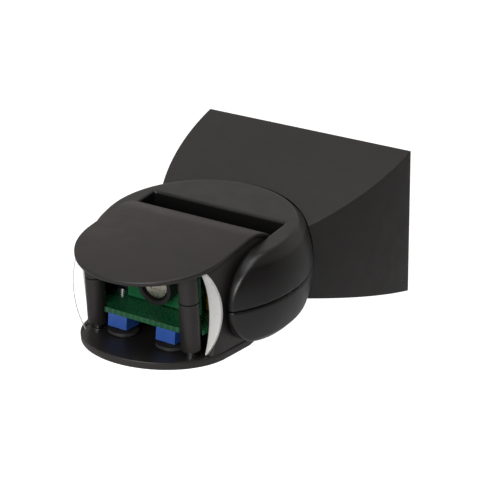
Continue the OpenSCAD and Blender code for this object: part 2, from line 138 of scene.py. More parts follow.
def slab(name, outline, axis, low, high):
    """A solid whose outline is drawn as (x, y) for axis Z, or as (y, z) for axis X."""
    bpy.ops.object.select_all(action="DESELECT")
    bpy.ops.mesh.primitive_circle_add(vertices=len(outline), radius=1, fill_type="NGON")
    piece = bpy.context.object
    for vertex, (a, b) in zip(piece.data.vertices, outline):
        vertex.co = (a, b, low) if axis == "Z" else (low, a, b)
    push = (0, 0, high - low) if axis == "Z" else (high - low, 0, 0)
    bpy.ops.object.mode_set(mode="EDIT")
    bpy.ops.mesh.select_all(action="SELECT")
    bpy.ops.mesh.extrude_region_move(TRANSFORM_OT_translate={"value": push})
    bpy.ops.object.mode_set(mode="OBJECT")
    settle(piece, name)
    face_outwards(piece)
    return piece


def carve(piece, cutter, how="DIFFERENCE"):
    select_only(piece)
    boolean = piece.modifiers.new("carve", "BOOLEAN")
    boolean.operation = how
    boolean.solver = "EXACT"
    boolean.object = cutter
    bpy.ops.object.modifier_apply(modifier=boolean.name)
    bpy.data.objects.remove(cutter)


def apply_modifier(piece, kind, **settings):
    select_only(piece)
    modifier = piece.modifiers.new(kind.lower(), kind)
    for setting, value in settings.items():
        setattr(modifier, setting, value)
    bpy.ops.object.modifier_apply(modifier=modifier.name)


def round_edges(piece, width, segments=3, angle=30):
    apply_modifier(piece, "BEVEL", width=width, segments=segments, limit_method="ANGLE",
                   angle_limit=math.radians(angle), use_clamp_overlap=True)


def smooth(piece, angle=30):
    select_only(piece)
    bpy.ops.object.shade_smooth_by_angle(angle=math.radians(angle))


def arc(centre, radius, start, end, steps):
    """Points along an arc in a plane, from one angle to another, in degrees."""
    return [
        (centre[0] + radius * math.cos(math.radians(start + (end - start) * i / steps)),
         centre[1] + radius * math.sin(math.radians(start + (end - start) * i / steps)))
        for i in range(steps + 1)
    ]


def globe(name, radius, segments=192):
    bpy.ops.object.select_all(action="DESELECT")
    bpy.ops.mesh.primitive_uv_sphere_add(segments=segments, ring_count=segments // 2,
                                         radius=radius, location=ball)
    return settle(bpy.context.object, name)


def rod(name, radius, centre, length, along, vertices=96):
    bpy.ops.object.select_all(action="DESELECT")
    bpy.ops.mesh.primitive_cylinder_add(vertices=vertices, radius=radius, depth=length, location=centre)
    piece = bpy.context.object
    piece.rotation_euler = {"X": (0, math.pi / 2, 0), "Y": (math.pi / 2, 0, 0), "Z": (0, 0, 0)}[along]
    return settle(piece, name)


def dress(piece, body, slot, *nodes):
    """Says what a finished piece rides on and which CAD nodes it stands for; its finish slot is not used."""
    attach(piece, body)
    if nodes:
        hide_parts(*nodes)
    print(piece.name, "has", len(piece.data.polygons), "faces")

# %% [markdown]
# ## The wall bracket
# The real one is a single moulding with thin walls. It is a wedge in side view, its sides curve
# inwards in plan, and its front is a hollow sphere that hugs the yoke. It could be lofted, but
# two slabs that intersect give the exact outline, and their long edges can be rounded before
# the socket is carved, while the mesh is still simple.

# %% Wall bracket
SHELL_WALL = 3 * MM
SOCKET_GAP = 0.3 * MM
TOP_SLOPE = math.radians(11.4)
BOTTOM_SLOPE = math.radians(19.1)
SIDE_RADIUS = 110 * MM
REACH = 60 * MM


def wedge(name, inset, rear):
    plan_r = SIDE_RADIUS - inset
    plan_x = SIDE_RADIUS - bracket_high.x
    sweep = math.degrees(math.asin(REACH / plan_r))
    sides = arc((-plan_x, 0), plan_r, 0, -sweep, 28)
    if rear > 0:
        sides.insert(0, (sides[0][0], rear))
    plan = slab(name, sides + [(-x, y) for x, y in reversed(sides)], "Z", -50 * MM, 50 * MM)
    top = bracket_high.z - inset / math.cos(TOP_SLOPE)
    low = bracket_low.z + inset / math.cos(BOTTOM_SLOPE)
    nose = REACH + 1 * MM
    carve(plan, slab(name + "_side", [
        (2 * MM, top + 2 * MM * math.tan(TOP_SLOPE)), (-nose, top - nose * math.tan(TOP_SLOPE)),
        (-nose, low + nose * math.tan(BOTTOM_SLOPE)), (2 * MM, low - 2 * MM * math.tan(BOTTOM_SLOPE)),
    ], "X", -60 * MM, 60 * MM), "INTERSECT")
    return plan


bracket = wedge("bracket", 0, 0)
round_edges(bracket, 0.3 * MM, 4)
chamber = wedge("chamber", SHELL_WALL, 1 * MM)
carve(chamber, globe("chamber_front", ball_r + SOCKET_GAP + SHELL_WALL))
carve(bracket, chamber)
carve(bracket, globe("socket", ball_r + SOCKET_GAP))

# %% [markdown]
# The yoke's hollow neck goes through a curved window in the socket wall, long enough for the
# pan. It is cut by a round rod at each end of the pan and by a flat ring sector between them.

# %% Pan window and screw holes
PAN_LIMIT = 25
WINDOW_HALF_H = 5.4 * MM
socket_rear = ball_r + SHELL_WALL
window_r = (ball_r - 2 * MM, ball_r + 6 * MM)
sector = arc(ball[:2], window_r[1], 90 - PAN_LIMIT, 90 + PAN_LIMIT, 24)
sector += arc(ball[:2], window_r[0], 90 + PAN_LIMIT, 90 - PAN_LIMIT, 24)
carve(bracket, slab("pan_window", sector, "Z", -WINDOW_HALF_H, WINDOW_HALF_H))
for side in (-1, 1):
    turn_end = rod("window_end", WINDOW_HALF_H, (0, socket_rear, 0), 10 * MM, "Y", 48)
    turn_end.data.transform(Matrix.Translation(ball) @ Matrix.Rotation(math.radians(side * PAN_LIMIT), 4, "Z"))
    carve(bracket, turn_end)
    screw_place = (side * 24 * MM, -6.5 * MM, -34 * MM)
    carve(bracket, rod("screw_hole", 1.5 * MM, screw_place, 20 * MM, "Z", 32))
    carve(bracket, rod("screw_recess", 3 * MM, screw_place, 12.2 * MM, "Z", 48))
smooth(bracket)
dress(bracket, "base", "bracket_plastic", "bracket_shell")

# %% [markdown]
# ## The yoke
# The yoke is a ball with its top and bottom cut flat, split in two at its equator. Two arms
# reach forward on each side of the bay that holds the head. Every edge of the real moulding is
# rounded, and rounding such a carved ball edge by edge is slow work. Instead each half is
# carved sharp, remeshed into even small squares, and relaxed, which softens every edge alike.
# The arms' outer front edges are rounder than the rest, so they are relaxed longer.

# %% Yoke outlines
SEAM = 0.15 * MM
RIM_X = 31.3 * MM
RIM_R = 0.7 * MM
RIM_TURN = 19.9
BAY_HALF_W = 25.1 * MM
BAY_BACK = 11.5 * MM
ARM_R = 15 * MM
YOKE_WALL = 3 * MM
BORE_R = 6.05 * MM


def ball_section():
    """Half the ball's side view, as (radius, height): flat, rim, a slope, ball, equator."""
    shoulder = arc((0, 0), ball_r, RIM_TURN, math.degrees(math.asin(SEAM / 2 / ball_r)), 12)
    slope = math.degrees(math.atan2(half_h - shoulder[0][1], shoulder[0][0] - RIM_X))
    rim_x = RIM_X - RIM_R * math.tan(math.radians(slope / 2))
    rim = arc((rim_x, half_h - RIM_R), RIM_R, 90, 90 - slope, 5)
    return [(0, half_h)] + rim + shoulder + [(0, SEAM / 2)]


def turned(name, section, centre, steps=192):
    """A closed section, drawn as (radius, height), spun round a vertical axis."""
    bpy.ops.object.select_all(action="DESELECT")
    bpy.ops.mesh.primitive_circle_add(vertices=len(section), radius=1, fill_type="NOTHING")
    piece = bpy.context.object
    for vertex, (radius, height) in zip(piece.data.vertices, section):
        vertex.co = (centre.x + radius, centre.y, height)
    bpy.ops.object.mode_set(mode="EDIT")
    bpy.ops.mesh.select_all(action="SELECT")
    bpy.ops.mesh.spin(steps=steps, angle=math.tau, center=centre, axis=(0, 0, 1))
    bpy.ops.mesh.select_all(action="SELECT")
    bpy.ops.mesh.remove_doubles(threshold=0.002 * MM)
    bpy.ops.mesh.dissolve_degenerate(threshold=0.001 * MM)
    bpy.ops.object.mode_set(mode="OBJECT")
    settle(piece, name)
    face_outwards(piece)
    return piece


def arm_side_view():
    rear = ball.y + 45 * MM
    return [(rear, ARM_R)] + arc((tilt.y, 0), ARM_R, 90, 270, 48) + [(rear, -ARM_R)]

# %% Yoke halves
def relax_arm_fronts(half):
    """Rounds the edge where each arm's curved front meets the ball."""
    group = half.vertex_groups.new(name="arm_fronts")
    for vertex in half.data.vertices:
        place = vertex.co
        from_ball = ball_r - (place - ball).length
        from_front = ARM_R - math.hypot(place.y - tilt.y, place.z)
        is_front = place.y < tilt.y and abs(place.x) > BAY_HALF_W + 0.8 * MM
        if is_front and max(from_ball, from_front) < 1.8 * MM and abs(place.z) > 0.6 * MM:
            group.add([vertex.index], 1, "REPLACE")
    apply_modifier(half, "SMOOTH", factor=0.5, iterations=16, vertex_group="arm_fronts")


def yoke_half(name, node):
    half = turned(name, ball_section(), ball)
    carve(half, slab("bay", [
        (-BAY_HALF_W, ball.y + BAY_BACK), (BAY_HALF_W, ball.y + BAY_BACK),
        (BAY_HALF_W, ball.y - 60 * MM), (-BAY_HALF_W, ball.y - 60 * MM),
    ], "Z", -30 * MM, 30 * MM))
    carve(half, slab("arm_view", arm_side_view(), "X", -60 * MM, 60 * MM), "INTERSECT")
    for side in (-1, 1):
        carve(half, rod("bore", BORE_R, (side * 27.6 * MM, tilt.y, 0), 7 * MM, "X"))
    hollow = globe("hollow", ball_r - YOKE_WALL, 96)
    hollow_front = ball.y + BAY_BACK + 2.5 * MM
    carve(hollow, slab("hollow_plan", [
        (-40 * MM, hollow_front), (40 * MM, hollow_front),
        (40 * MM, ball.y + 36 * MM), (-40 * MM, ball.y + 36 * MM),
    ], "Z", -half_h + 2.5 * MM, half_h - 2.5 * MM), "INTERSECT")
    carve(half, hollow)
    apply_modifier(half, "REMESH", mode="VOXEL", voxel_size=0.45 * MM)
    apply_modifier(half, "SMOOTH", factor=0.5, iterations=5)
    relax_arm_fronts(half)
    if node == "yoke_lower":
        select_only(half)
        bpy.ops.transform.mirror(constraint_axis=(False, False, True))
        settle(half, name)
        face_outwards(half)
    select_only(half)
    bpy.ops.object.shade_smooth()
    dress(half, "yoke", "yoke_plastic", node)


yoke_half("yoke_upper_half", "yoke_upper")
yoke_half("yoke_lower_half", "yoke_lower")

# %% [markdown]
# ## The head
# The head has a rear barrel that turns between the arms. From the barrel a top plate and a
# bottom plate run forward like a beak, with flat cheeks between them and the lens in front.
# Its side view is one outline: two straight lines that leave the barrel as tangents. Its plan
# has straight sides and a half-round front.

# %% Head outlines
TOP_FALL = 2.6
BOTTOM_RISE = 9.5
TOP_T = 1.5 * MM
BOTTOM_T = 2.6 * MM
HEAD_WALL = 2 * MM
PIECE_GAP = 0.15 * MM
CHEEK_HALF_W = 24.3 * MM
COVER_TURN = math.degrees(math.asin(0.35))
TOP_TURN = 90 + TOP_FALL
BOTTOM_TURN = -90 - BOTTOM_RISE
FRONT_PLANE = tilt.y - head_front - 2 * MM


def top_edge(distance):
    """Where a line parallel to the top plate, this far from the axis, meets the front."""
    fall = math.radians(TOP_FALL)
    return (FRONT_PLANE, distance / math.cos(fall) + (FRONT_PLANE - tilt.y) * math.tan(fall))


def bottom_edge(distance):
    rise = math.radians(BOTTOM_RISE)
    return (FRONT_PLANE, -distance / math.cos(rise) - (FRONT_PLANE - tilt.y) * math.tan(rise))


def round_axis(radius, start, end, steps):
    return arc((tilt.y, tilt.z), radius, start, end, steps)


def head_plan(half_w, front):
    half_round = arc((0, tilt.y - front + half_w), half_w, 180, 360, 96)
    return [(-half_w, tilt.y + 25 * MM)] + half_round + [(half_w, tilt.y + 25 * MM)]


def head_piece(name, side_view, half_w, front):
    piece = slab(name, side_view, "X", -half_w - 5 * MM, half_w + 5 * MM)
    carve(piece, slab("head_plan", head_plan(half_w, front), "Z", -30 * MM, 30 * MM), "INTERSECT")
    return piece

# %% [markdown]
# The cover is the top plate and the barrel's upper rear quarter in one thin moulding. Its side
# view is a band: out along its top, round the barrel, and back along its underside.

# %% Head cover
cover_view = [top_edge(barrel_r)] + round_axis(barrel_r, TOP_TURN, COVER_TURN, 32)
cover_view += round_axis(barrel_r - TOP_T, COVER_TURN + 2, TOP_TURN, 32) + [top_edge(barrel_r - TOP_T)]
cover = head_piece("head_top_cover", cover_view, plate_half_w, head_front)
round_edges(cover, 0.45 * MM, 4)
POST_X = 17.5 * MM
POST_Y = tilt.y - 24 * MM
for side in (-1, 1):
    carve(cover, rod("post", 3.1 * MM, (side * POST_X, POST_Y, 11.2 * MM), 10 * MM, "Z", 48), "UNION")
    carve(cover, rod("pilot", 1.2 * MM, (side * POST_X, POST_Y, 9.5 * MM), 9 * MM, "Z", 32))
smooth(cover)
dress(cover, "head", "head_plastic", "head_cover")

# %% [markdown]
# The shell is everything under the cover. Its cheeks end at a shallow curve where the lens
# begins, so the lens's side view is subtracted. The bottom plate is wider than the cheeks.

# %% Head shell
LENS_EDGE_R = 31 * MM
LENS_EDGE_CENTRE = (tilt.y - 18.3 * MM - LENS_EDGE_R, 1.3 * MM)
under_cover = barrel_r - TOP_T - PIECE_GAP
shell_view = [top_edge(under_cover)] + round_axis(under_cover, TOP_TURN, COVER_TURN, 32)
shell_view += round_axis(barrel_r, COVER_TURN - 0.5, BOTTOM_TURN, 64) + [bottom_edge(barrel_r)]
shell = head_piece("head_lower_shell", shell_view, CHEEK_HALF_W, head_front - 0.3 * MM)


def lens_view(radius):
    """The lens's side view, which is one large circle that reaches past the front."""
    return arc(LENS_EDGE_CENTRE, radius, 0, 360, 192)[:-1]


carve(shell, slab("lens_view", lens_view(LENS_EDGE_R), "X", -30 * MM, 30 * MM))
round_edges(shell, 0.3 * MM, 3)
plate_view = round_axis(barrel_r, BOTTOM_TURN + 8, BOTTOM_TURN, 6) + [bottom_edge(barrel_r)]
plate_view += [bottom_edge(barrel_r - BOTTOM_T)] + round_axis(barrel_r - BOTTOM_T, BOTTOM_TURN, BOTTOM_TURN + 8, 2)
bottom_plate = head_piece("bottom_plate", plate_view, plate_half_w, head_front)
round_edges(bottom_plate, 0.6 * MM, 4)
carve(shell, bottom_plate, "UNION")

# %% Head hollow
inner_view = [top_edge(barrel_r - TOP_T + 1 * MM)]
inner_view += round_axis(barrel_r - HEAD_WALL, TOP_TURN, BOTTOM_TURN, 64) + [bottom_edge(barrel_r - BOTTOM_T)]
carve(shell, head_piece("inside", inner_view, CHEEK_HALF_W - HEAD_WALL, head_front + 1 * MM))
TRUNNION_R = 6 * MM
trunnion_end = shell_high.x
for side in (-1, 1):
    stub = trunnion_end - CHEEK_HALF_W + HEAD_WALL
    place = (side * (trunnion_end - stub / 2), tilt.y, tilt.z)
    carve(shell, rod("trunnion", TRUNNION_R, place, stub, "X"), "UNION")
    carve(shell, rod("post", 3.1 * MM, (side * POST_X, POST_Y, -2.2 * MM), 16 * MM, "Z", 48), "UNION")
carve(shell, rod("trunnion_bore", 3.5 * MM, tilt, 80 * MM, "X", 64))
print("shell faces so far:", len(shell.data.polygons))

# %% [markdown]
# Two screws come up through the bottom plate, and two adjusters sit in round holes in it. The
# adjuster holes lean with the plate, so their rods are turned about the tilt axis.

# %% Screw and adjuster holes
SCREW_SEAT = -12.65 * MM
knob_x = (knob_low.x + knob_high.x) / 2
for side in (-1, 1):
    carve(shell, rod("screw_way", 1.5 * MM, (side * POST_X, POST_Y, 0), 60 * MM, "Z", 32))
    carve(shell, rod("screw_head_way", 2.5 * MM, (side * POST_X, POST_Y, SCREW_SEAT - 10 * MM), 20 * MM, "Z", 48))
    hole = rod("adjuster_hole", 4.05 * MM, (side * knob_x, -20 * MM, -barrel_r + 2 * MM), 6 * MM, "Z", 64)
    hole.data.transform(Matrix.Translation(tilt) @ Matrix.Rotation(math.radians(-BOTTOM_RISE), 4, "X"))
    carve(shell, hole)
smooth(shell)
dress(shell, "head", "head_plastic", "head_shell")

# %% [markdown]
# ## The lens
# The real lens is a thin shell of milky polyethylene, barrel-shaped, smooth outside and cut
# inside into cells that each look at one zone of the room. It is spun from a shallow arc,
# grooved on its inside between the cells, and trimmed by its side view. It is wider than the
# cheeks, so along its rear edge a narrow lip turns inwards and closes the step.

# %% Lens shell
LENS_R = 26.5 * MM
LENS_BULGE = 2 * MM
LENS_HALF_H = 12.5 * MM
LENS_MID = 3.2 * MM
LENS_T = 0.9 * MM
COLUMNS = 16
CELL_ANGLE = 9.3
ROW_EDGES = (-3.7 * MM, 1.4 * MM, 5.8 * MM, 9.5 * MM)
lens_axis = Vector((0, tilt.y - (head_front - plate_half_w), LENS_MID))
meridian_r = (LENS_HALF_H ** 2 + LENS_BULGE ** 2) / (2 * LENS_BULGE)


def lens_radius(height, inset):
    reach = math.sqrt((meridian_r - inset) ** 2 - (height - LENS_MID) ** 2)
    return LENS_R - meridian_r + reach


heights = [LENS_MID + (i - 12) * 1.4 * MM for i in range(25)]
section = [(lens_radius(h, 0), h) for h in heights]
section += [(lens_radius(h, LENS_T), h) for h in reversed(heights)]
lens = turned("lens_barrel", section, lens_axis, 256)

# %% Lens cells
GROOVE_W = 0.3 * MM
GROOVE_DEEP = 0.25 * MM


def inner_band(height):
    """The lens's inside at a height, as the two radii that a groove there spans."""
    inner = lens_radius(height, LENS_T)
    return inner + GROOVE_DEEP, inner - 1 * MM


for edge in ROW_EDGES:
    outer, inner = inner_band(edge)
    low, high = edge - GROOVE_W / 2, edge + GROOVE_W / 2
    carve(lens, turned("row_groove", [(inner, low), (outer, low), (outer, high), (inner, high)], lens_axis, 128))
groove_view = [(-inner_band(h)[0], h) for h in heights] + [(-inner_band(h)[1], h) for h in reversed(heights)]
for column in range(-COLUMNS // 2, COLUMNS // 2 + 1):
    angle = math.radians(column * CELL_ANGLE)
    bar = slab("column_groove", groove_view, "X", -GROOVE_W / 2, GROOVE_W / 2)
    bar.data.transform(Matrix.Translation((0, lens_axis.y, 0)) @ Matrix.Rotation(angle, 4, "Z"))
    carve(lens, bar)

# %% Lens trim and lip
LIP_HALF_W = CHEEK_HALF_W - HEAD_WALL - 0.7 * MM
rear_edge = LENS_EDGE_R - PIECE_GAP
lip_section = [(lens_radius(h, LENS_T / 2), h) for h in heights]
lip_section += [(18 * MM, heights[-1]), (18 * MM, heights[0])]
lip = turned("lens_lip", lip_section, lens_axis, 240)
carve(lip, slab("lip_front", lens_view(rear_edge - LENS_T), "X", -30 * MM, 30 * MM))
carve(lip, slab("lip_middle", [
    (-LIP_HALF_W, tilt.y + 20 * MM), (LIP_HALF_W, tilt.y + 20 * MM),
    (LIP_HALF_W, FRONT_PLANE - 5 * MM), (-LIP_HALF_W, FRONT_PLANE - 5 * MM),
], "Z", -31 * MM, 31 * MM))
carve(lens, lip, "UNION")
carve(lens, slab("lens_trim", lens_view(rear_edge), "X", -32 * MM, 32 * MM), "INTERSECT")
carve(lens, slab("lens_limits", [
    (tilt.y, barrel_r - TOP_T - PIECE_GAP), top_edge(barrel_r - TOP_T - PIECE_GAP),
    bottom_edge(barrel_r - BOTTOM_T - PIECE_GAP), (tilt.y, -barrel_r + BOTTOM_T + PIECE_GAP),
], "X", -30 * MM, 30 * MM), "INTERSECT")
smooth(lens, 25)
dress(lens, "head", "milky_lens", "lens")

# %% [markdown]
# ## Shared shading groups
# Every moulded surface has a fine grain and a slight unevenness of tone. They are made once, as
# node groups that put out only a colour, a roughness and a height, and each material gives them
# its own values. The Principled shader stays in the material, where an exporter can read it.

# %% Group helper
def new_group(name, inputs, outputs):
    group = bpy.data.node_groups.new(name, "ShaderNodeTree")
    for label, kind, value in inputs:
        socket = group.interface.new_socket(label, in_out="INPUT", socket_type=kind)
        if value is not None:
            socket.default_value = value
    for label, kind in outputs:
        group.interface.new_socket(label, in_out="OUTPUT", socket_type=kind)
    return group, group.nodes.new("NodeGroupInput"), group.nodes.new("NodeGroupOutput")


def noise(tree, vector, scale, detail, roughness=0.55):
    node = tree.nodes.new("ShaderNodeTexNoise")
    tree.links.new(vector, node.inputs["Vector"])
    if isinstance(scale, (int, float)):
        node.inputs["Scale"].default_value = scale
    else:
        tree.links.new(scale, node.inputs["Scale"])
    node.inputs["Detail"].default_value = detail
    node.inputs["Roughness"].default_value = roughness
    return node.outputs["Fac"]


def math_node(tree, operation, first, second=None, third=None, clamp=False):
    node = tree.nodes.new("ShaderNodeMath")
    node.operation = operation
    node.use_clamp = clamp
    for socket, value in zip(node.inputs, (first, second, third)):
        if isinstance(value, (int, float)):
            socket.default_value = value
        elif value is not None:
            tree.links.new(value, socket)
    return node.outputs[0]


def ramp(tree, value, from_low, from_high, to_low, to_high):
    node = tree.nodes.new("ShaderNodeMapRange")
    tree.links.new(value, node.inputs["Value"])
    names = ("From Min", "From Max", "To Min", "To Max")
    for label, number in zip(names, (from_low, from_high, to_low, to_high)):
        if isinstance(number, (int, float)):
            node.inputs[label].default_value = number
        else:
            tree.links.new(number, node.inputs[label])
    return node.outputs["Result"]

# %% Moulded surface group
def moulded_group():
    group, given, result = new_group("moulded_surface", [
        ("Vector", "NodeSocketVector", None), ("Dark", "NodeSocketColor", (0.01, 0.01, 0.01, 1)),
        ("Light", "NodeSocketColor", (0.02, 0.02, 0.02, 1)), ("Grain Scale", "NodeSocketFloat", 3000),
        ("Roughness Low", "NodeSocketFloat", 0.4), ("Roughness High", "NodeSocketFloat", 0.5),
    ], [("Color", "NodeSocketColor"), ("Roughness", "NodeSocketFloat"), ("Height", "NodeSocketFloat")])
    vector = given.outputs["Vector"]
    cloudy = noise(group, vector, 45, 3)
    grain = noise(group, vector, given.outputs["Grain Scale"], 2, 0.6)
    smear = noise(group, vector, 160, 2)
    mix = group.nodes.new("ShaderNodeMix")
    mix.data_type = "RGBA"
    tone = ramp(group, math_node(group, "MULTIPLY_ADD", grain, 0.35, cloudy), 0.45, 0.9, 0, 1)
    group.links.new(tone, mix.inputs[0])
    group.links.new(given.outputs["Dark"], mix.inputs[6])
    group.links.new(given.outputs["Light"], mix.inputs[7])
    group.links.new(mix.outputs[2], result.inputs["Color"])
    rough = math_node(group, "MULTIPLY_ADD", grain, 0.4, smear)
    group.links.new(ramp(group, rough, 0.5, 0.9, given.outputs["Roughness Low"],
                         given.outputs["Roughness High"]), result.inputs["Roughness"])
    group.links.new(grain, result.inputs["Height"])
    return group


# %% Moulded materials
moulded_surface = moulded_group()


def start_material(name):
    material = bpy.data.materials.new(name)
    material.use_nodes = True
    tree = material.node_tree
    shader = tree.nodes["Principled BSDF"]
    coords = tree.nodes.new("ShaderNodeTexCoord").outputs["Object"]
    return material, tree, shader, coords


def add_bump(tree, shader, height, depth, strength=1.0):
    bump = tree.nodes.new("ShaderNodeBump")
    bump.inputs["Distance"].default_value = depth
    bump.inputs["Strength"].default_value = strength
    tree.links.new(height, bump.inputs["Height"])
    tree.links.new(bump.outputs["Normal"], shader.inputs["Normal"])


def moulded(name, dark, light, roughness, grain_scale, grain_depth, **settings):
    """A moulded surface between two tones, with a grain of the given scale and depth."""
    material, tree, shader, coords = start_material(name)
    surface = tree.nodes.new("ShaderNodeGroup")
    surface.node_tree = moulded_surface
    tree.links.new(coords, surface.inputs["Vector"])
    surface.inputs["Dark"].default_value = (*dark, 1)
    surface.inputs["Light"].default_value = (*light, 1)
    surface.inputs["Grain Scale"].default_value = grain_scale
    surface.inputs["Roughness Low"].default_value = roughness[0]
    surface.inputs["Roughness High"].default_value = roughness[1]
    tree.links.new(surface.outputs["Color"], shader.inputs["Base Color"])
    tree.links.new(surface.outputs["Roughness"], shader.inputs["Roughness"])
    add_bump(tree, shader, surface.outputs["Height"], grain_depth)
    for label, value in settings.items():
        shader.inputs[label.replace("_", " ")].default_value = value
    return material


def paint(piece, material):
    piece.data.materials.clear()
    piece.data.materials.append(material)


def paint_bay_shade(half, material):
    """The bay's own walls get a rougher, near-black finish, which is painted shade for the recess between the arms."""
    half.data.materials.append(material)
    for face in half.data.polygons:
        within = abs(face.center.x) < BAY_HALF_W + 0.2 * MM and abs(face.center.z) < half_h - 0.7 * MM
        ahead = face.center.y < ball.y + BAY_BACK + 0.8 * MM
        inwards = face.normal.y < -0.5 or face.normal.x * face.center.x < 0
        if within and ahead and inwards:
            face.material_index = 1


bracket_black = moulded("bracket_black", (0.009, 0.0075, 0.007), (0.012, 0.010, 0.0095), (0.5, 0.58), 2600, 0.012 * MM)
yoke_black = moulded("yoke_black", (0.0035, 0.003, 0.0028), (0.006, 0.005, 0.0047), (0.34, 0.42), 2200, 0.008 * MM)
head_black = moulded("head_black", (0.011, 0.009, 0.0085), (0.015, 0.0125, 0.0115), (0.42, 0.50), 2600, 0.008 * MM)
paint(bracket, bracket_black)
paint(bpy.data.objects["yoke_upper_half"], yoke_black)
paint(bpy.data.objects["yoke_lower_half"], yoke_black)
# The bay walls get a near-black, less reflective copy of the yoke black: painted shade for the deep recess.
bay_painted_shade = moulded("bay_painted_shade", (0.002, 0.002, 0.002), (0.004, 0.0035, 0.003), (0.7, 0.8), 1600, 0.02 * MM,
                    Specular_IOR_Level=0.12)
paint_bay_shade(bpy.data.objects["yoke_upper_half"], bay_painted_shade)
paint_bay_shade(bpy.data.objects["yoke_lower_half"], bay_painted_shade)
paint(cover, head_black)
paint(shell, head_black)

# %% [markdown]
# ## The milky lens
# Seen through the milky wall, the cells inside show as a faint, blurred grid. The middle of the
# lens is painted a darker lilac grey, painted shade of the dark inside showing through, a little
# deeper or lighter in each cell. Both follow the lens itself: the angle round its axis and the
# height give the nearest cell edge, which makes the line, and the cell's number, which picks
# how deep its painted shade is.

# %% Milky lens material
def line_mask(tree, value, centre, half_width):
    """1 on a line at `centre`, falling to 0 at half_width each side."""
    away = math_node(tree, "ABSOLUTE", math_node(tree, "SUBTRACT", value, centre))
    return ramp(tree, away, 0, half_width, 1, 0)


def milky_lens():
    material, tree, shader, coords = start_material("milky_lens")
    moved = tree.nodes.new("ShaderNodeMapping")
    moved.inputs["Location"].default_value = -lens_axis
    tree.links.new(coords, moved.inputs["Vector"])
    split = tree.nodes.new("ShaderNodeSeparateXYZ")
    tree.links.new(moved.outputs["Vector"], split.inputs["Vector"])
    ahead = math_node(tree, "MULTIPLY", split.outputs["Y"], -1)
    angle = math_node(tree, "ARCTAN2", split.outputs["X"], ahead)
    height = split.outputs["Z"]
    cell = math.radians(CELL_ANGLE)
    within = math_node(tree, "WRAP", angle, cell / 2, -cell / 2)
    lines = line_mask(tree, within, 0, cell * 0.2)
    row = 0
    for edge in ROW_EDGES:
        lines = math_node(tree, "MAXIMUM", lines, line_mask(tree, height, edge - LENS_MID, 0.75 * MM))
        row = math_node(tree, "ADD", math_node(tree, "GREATER_THAN", height, edge - LENS_MID), row)
    # The middle of the lens, away from its sides and its top and bottom, holds the cell grid and is painted a darker
    # lilac grey: painted shade of the dark inside showing through the wall.
    fade_side = ramp(tree, math_node(tree, "ABSOLUTE", angle), math.radians(52), math.radians(70), 1, 0.15)
    fade_high = ramp(tree, math_node(tree, "ABSOLUTE", height), 7 * MM, 13 * MM, 1, 0)
    inside = math_node(tree, "MULTIPLY", fade_side, fade_high)
    wobble = noise(tree, coords, 240, 3)
    lines = math_node(tree, "MULTIPLY", lines, inside)
    lines = math_node(tree, "MULTIPLY", lines, ramp(tree, wobble, 0.38, 0.62, 0.2, 1))
    column = math_node(tree, "FLOOR", math_node(tree, "DIVIDE", angle, cell))
    number = tree.nodes.new("ShaderNodeCombineXYZ")
    tree.links.new(column, number.inputs["X"])
    tree.links.new(row, number.inputs["Y"])
    pick = tree.nodes.new("ShaderNodeTexWhiteNoise")
    tree.links.new(number.outputs["Vector"], pick.inputs["Vector"])
    # Each cell gets a random depth of that painted shade, and a little noise mottle is added on top.
    cell_shade = ramp(tree, pick.outputs["Value"], 0, 1, 0.16, 0.42)
    painted_shade_and_mottle = math_node(tree, "MULTIPLY_ADD", inside, cell_shade, math_node(tree, "MULTIPLY", wobble, 0.14))
    tone = tree.nodes.new("ShaderNodeMix")
    tone.data_type = "RGBA"
    tone.inputs[6].default_value = (0.68, 0.675, 0.65, 1)
    tone.inputs[7].default_value = (0.43, 0.41, 0.47, 1)
    tree.links.new(painted_shade_and_mottle, tone.inputs[0])
    drawn = tree.nodes.new("ShaderNodeMix")
    drawn.data_type = "RGBA"
    drawn.inputs[7].default_value = (0.40, 0.39, 0.43, 1)
    tree.links.new(math_node(tree, "MULTIPLY", lines, 0.4), drawn.inputs[0])
    tree.links.new(tone.outputs[2], drawn.inputs[6])
    tree.links.new(drawn.outputs[2], shader.inputs["Base Color"])
    tree.links.new(ramp(tree, wobble, 0.3, 0.7, 0.30, 0.38), shader.inputs["Roughness"])
    add_bump(tree, shader, noise(tree, coords, 1500, 2), 0.003 * MM)
    shader.inputs["Subsurface Weight"].default_value = 0.35
    shader.inputs["Subsurface Radius"].default_value = (1.0, 1.0, 1.1)
    shader.inputs["Subsurface Scale"].default_value = 1.2 * MM
    return material


paint(lens, milky_lens())

# %% [markdown]
# ## The pieces inside
# The CAD's inner pieces keep their shapes, and each gets the finish of the real thing: zinc on
# the screws and the pan clutch, brass in the terminals, solder mask on the boards. Zinc and
# brass are metals with a drawn, cloudy surface, so they share one recipe too.

# %% Inner materials
def plated(name, dark, light, roughness, scale):
    return moulded(name, dark, light, roughness, scale, 0.004 * MM, Metallic=1.0)


def solder_mask(name):
    material = moulded(name, (0.004, 0.05, 0.018), (0.008, 0.09, 0.03), (0.22, 0.34), 1400, 0.004 * MM)
    tree = material.node_tree
    shader = tree.nodes["Principled BSDF"]
    coords = next(node for node in tree.nodes if node.type == "TEX_COORD").outputs["Object"]
    tracks = tree.nodes.new("ShaderNodeTexBrick")
    tracks.inputs["Scale"].default_value = 230
    tracks.inputs["Mortar Size"].default_value = 0.06
    tree.links.new(coords, tracks.inputs["Vector"])
    mix = tree.nodes.new("ShaderNodeMix")
    mix.data_type = "RGBA"
    mix.inputs[7].default_value = (0.02, 0.16, 0.06, 1)
    tree.links.new(math_node(tree, "MULTIPLY", tracks.outputs["Fac"], 0.6), mix.inputs[0])
    tree.links.new(shader.inputs["Base Color"].links[0].from_socket, mix.inputs[6])
    tree.links.new(mix.outputs[2], shader.inputs["Base Color"])
    return material


